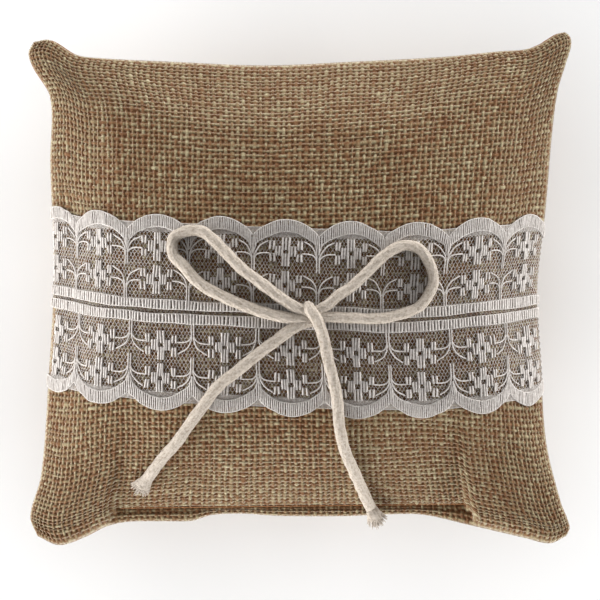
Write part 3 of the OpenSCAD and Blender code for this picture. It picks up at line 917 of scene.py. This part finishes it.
def lying(x, y, over=0.0):
    """Height of a cord's middle over x, y when it lies on the lace, in millimetres."""
    hit, normal, _, _ = cloth_below.ray_cast(Vector((x, y, 90)), Vector((0, 0, -1)))
    if hit is None:
        return SEAM_Z / MM + CLOTH + CORD_D / 2 + over
    return hit.z + (LACE_H + 0.25 + CORD_D / 2) / max(abs(normal.z), 0.6) + over


def laid(route, smoothing=90):
    """A cord's smooth middle line over the cushion, in millimetres, a point every 0.4 mm."""
    line = np.array([(x, y, lying(x, y, lift)) for x, y, lift in smooth_curve(route)])
    ends = line[[0, -1], 2].copy()
    for _ in range(smoothing):
        line[1:-1, 2] = (line[:-2, 2] + 2 * line[1:-1, 2] + line[2:, 2]) / 4
    line[[0, -1], 2] = ends
    run = run_along(line)
    steps = np.linspace(0, run[-1], round(run[-1] / CORD_STEP) + 1)
    return np.stack([np.interp(steps, run, line[:, k]) for k in range(3)], -1)


def cord_length(line):
    return float(np.linalg.norm(np.diff(line, axis=0), axis=1).sum())


print("a cord's middle lies", round(lying(*KNOT), 1), "mm high at the knot")

# %% [markdown]
# The cord is soft cotton, knitted round into a tube. Eight ribs of stitches run along it with a
# slow twist, and it is never quite round. The sweep carries a frame along the line without
# turning it, and raises the ribs and stitches on the surface. Both ends of a loop and the root
# of a tail run on under the knot, where they narrow out of sight.

# %% Sweeping the cord
CORD_SIDES = 32
RIBS = 8
RIB_TWIST = 38
STITCH = 1.3
RIB_RISE, STITCH_RISE, UNEVEN = 0.09, 0.05, 0.16
NARROW_OVER, FLARE_OVER = 1.5, 3


def swept(name, line, seed, narrow=(0, 0), flare=1.0, squeeze=1.0):
    """A closed cord along a line in millimetres. narrow gives the share lost at each end."""
    p = np.asarray(line)
    tangent = np.gradient(p, axis=0)
    tangent /= np.linalg.norm(tangent, axis=1, keepdims=True)
    side = np.cross(tangent[0], (0, 0, 1))
    run = run_along(p)
    angle = np.arange(CORD_SIDES) * 2 * np.pi / CORD_SIDES
    bm = bmesh.new()
    uv = bm.loops.layers.uv.new("cord")
    rings = []
    for k in range(len(p)):
        side = side - tangent[k] * (side @ tangent[k])
        side /= np.linalg.norm(side)
        up = np.cross(side, tangent[k])
        left, gone = run[-1] - run[k], run[k]
        turn = RIBS * (angle + 2 * np.pi * gone / RIB_TWIST)
        knit = RIB_RISE * np.cos(turn)
        knit += STITCH_RISE * np.sin(turn / 2) * np.cos(2 * np.pi * gone / STITCH)
        soft = [UNEVEN * noise.noise(Vector((gone / 3.5, seed * 5, a / 2))) for a in (0, 1, 2, 3)]
        loose = np.interp(angle, np.linspace(0, 2 * np.pi, 5), soft + soft[:1])
        ends = narrow[0] * max(0, 1 - gone / NARROW_OVER) + narrow[1] * max(0, 1 - left / NARROW_OVER)
        wider = 1 + (flare - 1) * max(0, 1 - left / FLARE_OVER)
        r = (CORD_D / 2 - 0.03 + knit + loose) * (1 - ends) * wider
        across, high = r * np.cos(angle) * squeeze, r * np.sin(angle) / squeeze
        ring = p[k] + across[:, None] * side + high[:, None] * up
        rings.append([bm.verts.new(c * MM) for c in ring])
    for k in range(len(rings) - 1):
        for s in range(CORD_SIDES):
            e = (s + 1) % CORD_SIDES
            f = bm.faces.new((rings[k][s], rings[k][e], rings[k + 1][e], rings[k + 1][s]))
            f.smooth = True
            for loop, (i, j) in zip(f.loops, ((k, s), (k, s + 1), (k + 1, s + 1), (k + 1, s))):
                loop[uv].uv = (j / CORD_SIDES, run[i] * MM)
    bm.faces.new(rings[0])
    bm.faces.new(rings[-1])
    bmesh.ops.recalc_face_normals(bm, faces=bm.faces)
    print(name, round(float(run[-1]), 1), "mm long")
    return put_mesh(name, bm)


# %% Loops and tails
FRAY = 2.4
CUT_BACK = 1.4 * FRAY
ROOT_NARROWING = 0.25
TAIL_FLARE = 1.4
LEFT_ROOTS = [(3.4, -6.9, 0.3)], [(3.6, -8.0, 0.3)]
RIGHT_ROOTS = [(3.4, -6.4, 0.3)], [(3.4, -7.6, 0.3)]
TAIL_ROOT = [(4.2, -8.2, 0.1), (1.2, -8.9, 0.3)]
WRAP = [(2.0, -4.3, -0.8), (2.5, -5.1, 1.0), (3.7, -6.8, 2.0), (4.6, -8.3, 1.9), (5.2, -9.7, 1.4),
        (5.7, -10.9, 0.8)]


def short_of(line, amount):
    """The line without its last stretch."""
    run = run_along(line)
    return line[run <= run[-1] - amount]


left_loop_line = laid(LEFT_ROOTS[0] + LEFT_LOOP + LEFT_ROOTS[1])
right_loop_line = laid(RIGHT_ROOTS[0] + RIGHT_LOOP + RIGHT_ROOTS[1])
left_tail_line = short_of(laid(TAIL_ROOT + LEFT_TAIL), CUT_BACK)
right_tail_line = short_of(laid(WRAP[3:] + RIGHT_TAIL, 30), CUT_BACK)
hidden = (ROOT_NARROWING, ROOT_NARROWING)
free = (ROOT_NARROWING, 0)
left_loop = swept("left_loop_cord", left_loop_line, 1, narrow=hidden)
right_loop = swept("right_loop_cord", right_loop_line, 2, narrow=hidden, squeeze=0.93)
left_tail = swept("left_tail_cord", left_tail_line, 3, narrow=free, flare=TAIL_FLARE)
right_tail = swept("right_tail_cord", right_tail_line, 4, narrow=free, flare=TAIL_FLARE)

# %% [markdown]
# ### The knot
#
# One turn of cord is drawn tight over the roots of the loops and runs on as the right tail. It
# is pressed a little flat where it bends over them.

# %% The knot
knot_wrap = swept("knot_wrap", laid(WRAP, 12), 5, narrow=(0.1, 0.3), squeeze=1.06)

# %% [markdown]
# ### Frayed ends
#
# The cord is cut and not sealed, so its cotton comes undone into a small brush of strands.

# %% Frayed ends
BRUSH_STRANDS, BRUSH_THREAD = 220, 0.3


def brush(name, line, seed):
    """Strands that spread from the cut end of a cord."""
    dice = random.Random(seed)
    end, way = line[-1], line[-1] - line[-4]
    way = way / np.linalg.norm(way)
    side = np.cross(way, (0, 0, 1))
    side /= np.linalg.norm(side)
    up = np.cross(side, way)
    lines = []
    for _ in range(BRUSH_STRANDS):
        turn, out = dice.uniform(0, 2 * math.pi), dice.uniform(0, 1) ** 0.5
        root = math.cos(turn) * side + math.sin(turn) * up
        long, lean = FRAY * dice.uniform(0.75, 1.2), dice.uniform(0.2, 0.5) * out
        start = end - way * 0.7 + root * out * CORD_D / 2 * 1.3
        t = np.linspace(0, 1, 5)[:, None]
        drop = np.array([0, 0, -0.15]) * long * t**2
        lines.append((start + way * long * t + root * long * lean * t**1.3 + drop) * MM)
    return strands(name, lines, BRUSH_THREAD * MM, resolution=0, taper=(1, 0.5))


left_brush = brush("left_tail_fray", left_tail_line, 11)
right_brush = brush("right_tail_fray", right_tail_line, 12)

# %% [markdown]
# ### Loose fibres
#
# Brushed cotton has short fibres standing off all round, and they blur the cord's edge. Each is
# a bent hair about a millimetre long.

# %% Loose fibres
FIBRES_PER_MM, FIBRE_D = 13, 0.06


def loose_fibres(name, line, seed):
    """Bent hairs at random places round a cord."""
    dice = random.Random(seed)
    ways = np.gradient(line, axis=0)
    ways /= np.linalg.norm(ways, axis=1, keepdims=True)
    lines = []
    for _ in range(round(cord_length(line) * FIBRES_PER_MM)):
        k, turn = dice.randrange(len(line)), dice.uniform(0, 2 * math.pi)
        side = np.cross(ways[k], (0, 0, 1))
        out = math.cos(turn) * side + math.sin(turn) * np.cross(side, ways[k])
        lean = ways[k] * dice.uniform(-1, 1) + np.array([dice.uniform(-0.5, 0.5) for _ in range(3)])
        long = dice.uniform(0.5, 1.1)
        start = line[k] + out * (CORD_D / 2 - 0.1)
        knee = start + long * (0.35 * out + 0.3 * lean)
        tip = start + long * (0.45 * out + 0.8 * lean)
        lines.append(np.array([start, knee, tip]) * MM)
    return strands(name, lines, FIBRE_D * MM, resolution=0, taper=(1, 0.5))


fibres = [loose_fibres(f"{name}_fibres", line, 20 + k) for k, (name, line) in enumerate(
    (("left_loop", left_loop_line), ("right_loop", right_loop_line),
     ("left_tail", left_tail_line), ("right_tail", right_tail_line)))]

# %% [markdown]
# ### Cotton cord
#
# Cotton is matte, and a little see-through at its surface, which the material leaves out. Loose
# fibre makes a pale halo, which sheen gives. The single fibres are too fine for the mesh, so bump
# draws them as streaks along the cord's own length. The brushes have no such map of their own,
# so they only show the fibre's grain.

# %% Cotton cord
def cotton():
    material, t = new_material("knitted_cotton_cord")
    place = add(t, "TexCoord")
    uv = add(t, "UVMap", uv_map="cord")
    round_and_along = add(t, "VectorMath", {0: uv, 1: (math.pi * CORD_D * 2.6, 330, 1)},
                          operation="MULTIPLY")
    streaks = add(t, "TexNoise", {"Vector": round_and_along, "Scale": 1.0, "Detail": 4.0,
                                  "Roughness": 0.75})
    grain = add(t, "TexNoise", {"Vector": place.outputs["Object"], "Scale": 1500.0, "Detail": 4.0,
                                "Roughness": 0.7})
    both = add(t, "Math", {0: streaks, 1: 0.8, 2: grain}, operation="MULTIPLY_ADD")
    shade = add(t, "ValToRGB", {0: both})
    ramp(shade, [(0.62, "#897D6E"), (0.98, "#BDB2A6")])
    bump = add(t, "Bump", {"Strength": 0.9, "Distance": 0.3 * MM, "Height": both})
    shader = add(t, "BsdfPrincipled", {
        "Base Color": shade, "Roughness": 0.9, "Specular IOR Level": 0.15, "Sheen Weight": 0.3,
        "Sheen Roughness": 0.4, "Sheen Tint": linear("#FFF6E8"), "Normal": bump})
    add(t, "OutputMaterial", {0: shader})
    return material


cord_pieces = [left_loop, right_loop, left_tail, right_tail, left_brush, right_brush, knot_wrap] + fibres
clad(cord_pieces, cotton())

# %% [markdown]
# ## Sewing thread
#
# The opening was stitched shut by machine, and that row of brown stitches shows in the crease
# behind the lip. The other three sides were sewn inside out, so only a trace of thread shows in
# the groove between the panels.

# %% Stitches
THREAD_D = 0.45
STITCHES = 40
STITCH_BOW = 0.22
GROOVE = 0.45
TACK_WIDE, TACK_HIGH = 1.8, 1.6


def closing_stitches():
    """One short bowed thread per stitch, on both faces of the lip."""
    lines = []
    row = np.linspace(LIP_FROM + LIP_FADE, LIP_TO - LIP_FADE, STITCHES + 1)
    for a, b in zip(row[:-1], row[1:]):
        u = np.linspace(a, b, 6) * 0.96 + (a + b) / 2 * 0.04
        x = plan(u, -np.ones_like(u))[:, 0]
        y = STITCH_LINE + STITCH_SKEW * u + 0.05
        bow = STITCH_BOW * np.sin(np.linspace(0, np.pi, 6))
        for side in (1, -1):
            z = SEAM_Z / MM + side * (CLOTH + 0.15 + bow)
            lines.append(np.c_[x, y, z] * MM)
    return strands("closing_stitches", lines, THREAD_D * MM)


def seam_thread():
    """Thread in the groove round the three sides that were sewn before turning."""
    from_lip = np.linspace(LIP_TO, 1, 40)
    to_lip = np.linspace(-1, LIP_FROM, 40)
    full = np.linspace(-1, 1, 160)
    part, edge = np.ones(40), np.ones(160)
    line = np.concatenate([plan(from_lip, -part), plan(edge, full)[1:], plan(full[::-1], edge)[1:],
                           plan(-edge, full[::-1])[1:], plan(to_lip, -part)[1:]])
    away = line / np.linalg.norm(line, axis=1, keepdims=True)
    line = line - away * GROOVE
    z = np.full(len(line), SEAM_Z / MM)
    return strands("seam_thread", [np.c_[line, z] * MM], THREAD_D * MM)


def tack_stitch():
    """The stitch under the knot that holds the bow to the lace and the panel."""
    turn = np.linspace(0, 2 * np.pi, 25)
    z = lying(*KNOT) - CORD_D / 2 - 0.6
    x, y = KNOT[0] + TACK_WIDE * np.cos(turn), np.full(25, KNOT[1] - 0.4)
    line = np.c_[x, y, z + TACK_HIGH * np.sin(turn)]
    return strands("tack_stitch", [line * MM], THREAD_D * MM)


closing = closing_stitches()
seam = seam_thread()
tack = tack_stitch()
clad([closing, seam, tack], grained("spun_polyester_thread", {"Scale": 2500.0, "Detail": 2.0},
                                    [(0.3, "#6E4526"), (0.7, "#9A6A40")],
                                    {"Roughness": 0.6, "Specular IOR Level": 0.3}))

# %% [markdown]
# ## The filling
#
# Loose polyester fibre fills the cover. Nobody sees it, but it is a piece of its own: a soft
# lumpy block a little smaller than the cover.

# %% The filling
FILL_CELLS = 40
FILL_GAP = 2.4
FILL_REACH = 0.85
FILL_LUMP = 0.6


def filling():
    """A lumpy closed block between the two covers, clear of both."""
    step = np.linspace(-FILL_REACH, FILL_REACH, FILL_CELLS + 1)
    u, v = np.meshgrid(step, step)
    top = face(u, v)
    low = face(u, v, SEAM_Z / MM)
    for sheet, side in ((top, -1), (low, 1)):
        sheet[..., 2] += side * (FILL_GAP + CLOTH + FILL_LUMP + FILL_LUMP * lumps(sheet * 1.7))
    low[..., 2] = np.maximum(low[..., 2], CLOTH + 0.4)
    bm = bmesh.new()
    for sheet in (top, low):
        made = bmesh.ops.create_grid(bm, x_segments=FILL_CELLS, y_segments=FILL_CELLS, size=1)["verts"]
        for vert in made:
            i, j = grid_place(vert, FILL_CELLS, FILL_CELLS)
            vert.co = sheet[j, i] * MM
    closed(bm, [e for e in bm.edges if e.is_boundary])
    return put_mesh("filling", bm)


fill = filling()
clad([fill], grained("polyester_fibre", {"Scale": 500.0, "Detail": 5.0, "Distortion": 1.5},
                     [(0.3, "#D9D8D4"), (0.7, "#F6F5F2")],
                     {"Roughness": 0.95, "Sheen Weight": 0.5}, bump=0.6))

# %% [markdown]
# ## Where each piece belongs
#
# The cushion's pieces ride on its body, and the solids that the listed ones stand for are
# hidden. The solids of the loops and tails are hidden too, and each tail's brush rides on a
# body of its own cord. The loop and tail cords and their fibres stay in place, unattached.

for piece, node in ((front_cover, "front_panel"), (back_cover, "back_panel"), (fill, "fibre_fill"),
                    (lace_pieces[0], "lace_band"), (closing, "closing_seam_thread"),
                    (seam, "perimeter_seam_thread"), (tack, "bow_tack_thread"), (knot_wrap, "bow_knot")):
    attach(piece, "cushion")
    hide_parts(node)
for piece in lace_pieces[1:]:
    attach(piece, "cushion")

CORDS = [(left_loop, left_loop_line, "left_loop", LEFT_LOOP, fibres[0], []),
         (right_loop, right_loop_line, "right_loop", RIGHT_LOOP, fibres[1], []),
         (left_tail, left_tail_line, "left_tail", LEFT_TAIL, fibres[2], [left_brush]),
         (right_tail, right_tail_line, "right_tail", RIGHT_TAIL, fibres[3], [right_brush])]
for piece, line, node, route, hairs, extras in CORDS:
    start = Vector(line[np.linalg.norm(line[:, :2] - route[0][:2], axis=1).argmin()] * MM)
    ahead = Vector(line[len(line) // 3] * MM) - start
    ahead.normalize()
    for bending in (piece, hairs):
        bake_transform(bending)
    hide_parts(node)
    for extra in extras:
        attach(extra, node + "_cord")
    cord_length(line) * MM
    [tuple(p * MM) for p in line]

print("cords:", [round(cord_length(line), 1) for _, line, *_ in CORDS], "mm")

# %% [markdown]
# ## Floor and light
#
# A plain white floor and large soft lamps all round, low enough to brighten the sides that face
# outwards, keep the shadows open.

# %% Floor
bm = bmesh.new()
bmesh.ops.create_grid(bm, x_segments=1, y_segments=1, size=3)
floor = put_mesh("floor", bm)
floor_material, t = new_material("white_paper")
paper = add(t, "BsdfPrincipled", {"Base Color": linear("#FBFBFB"), "Roughness": 0.9})
add(t, "OutputMaterial", {0: paper})
clad([floor], floor_material)

# %% Light
WORLD_LIGHT = 0.47
LAMP_LONG, LAMP_HIGH, LAMP_Z = 1.2, 0.32, 0.2
AIM = Vector((0, 0, 0.03))
world = bpy.data.worlds.new("studio")
bpy.context.scene.world = world
world.use_nodes = True
world.node_tree.nodes["Background"].inputs[0].default_value = linear("#FFFFFF")
world.node_tree.nodes["Background"].inputs[1].default_value = WORLD_LIGHT

LAMPS = [("left", -1.2, -0.1, 16), ("right", 1.2, 0.1, 21), ("top", -0.1, 1.2, 17),
         ("front", -0.6, -1.0, 19)]
for name, x, y, power in LAMPS:
    lamp = bpy.data.lights.new(name, "AREA")
    lamp.shape = "RECTANGLE"
    lamp.size = LAMP_LONG
    lamp.size_y = LAMP_HIGH
    lamp.energy = power
    holder = put(name, lamp)
    holder.location = (x, y, LAMP_Z)
    holder.rotation_euler = (AIM - holder.location).to_track_quat("-Z", "Y").to_euler()
bpy.context.scene.view_settings.view_transform = "Standard"
print(len(LAMPS), "lamps")
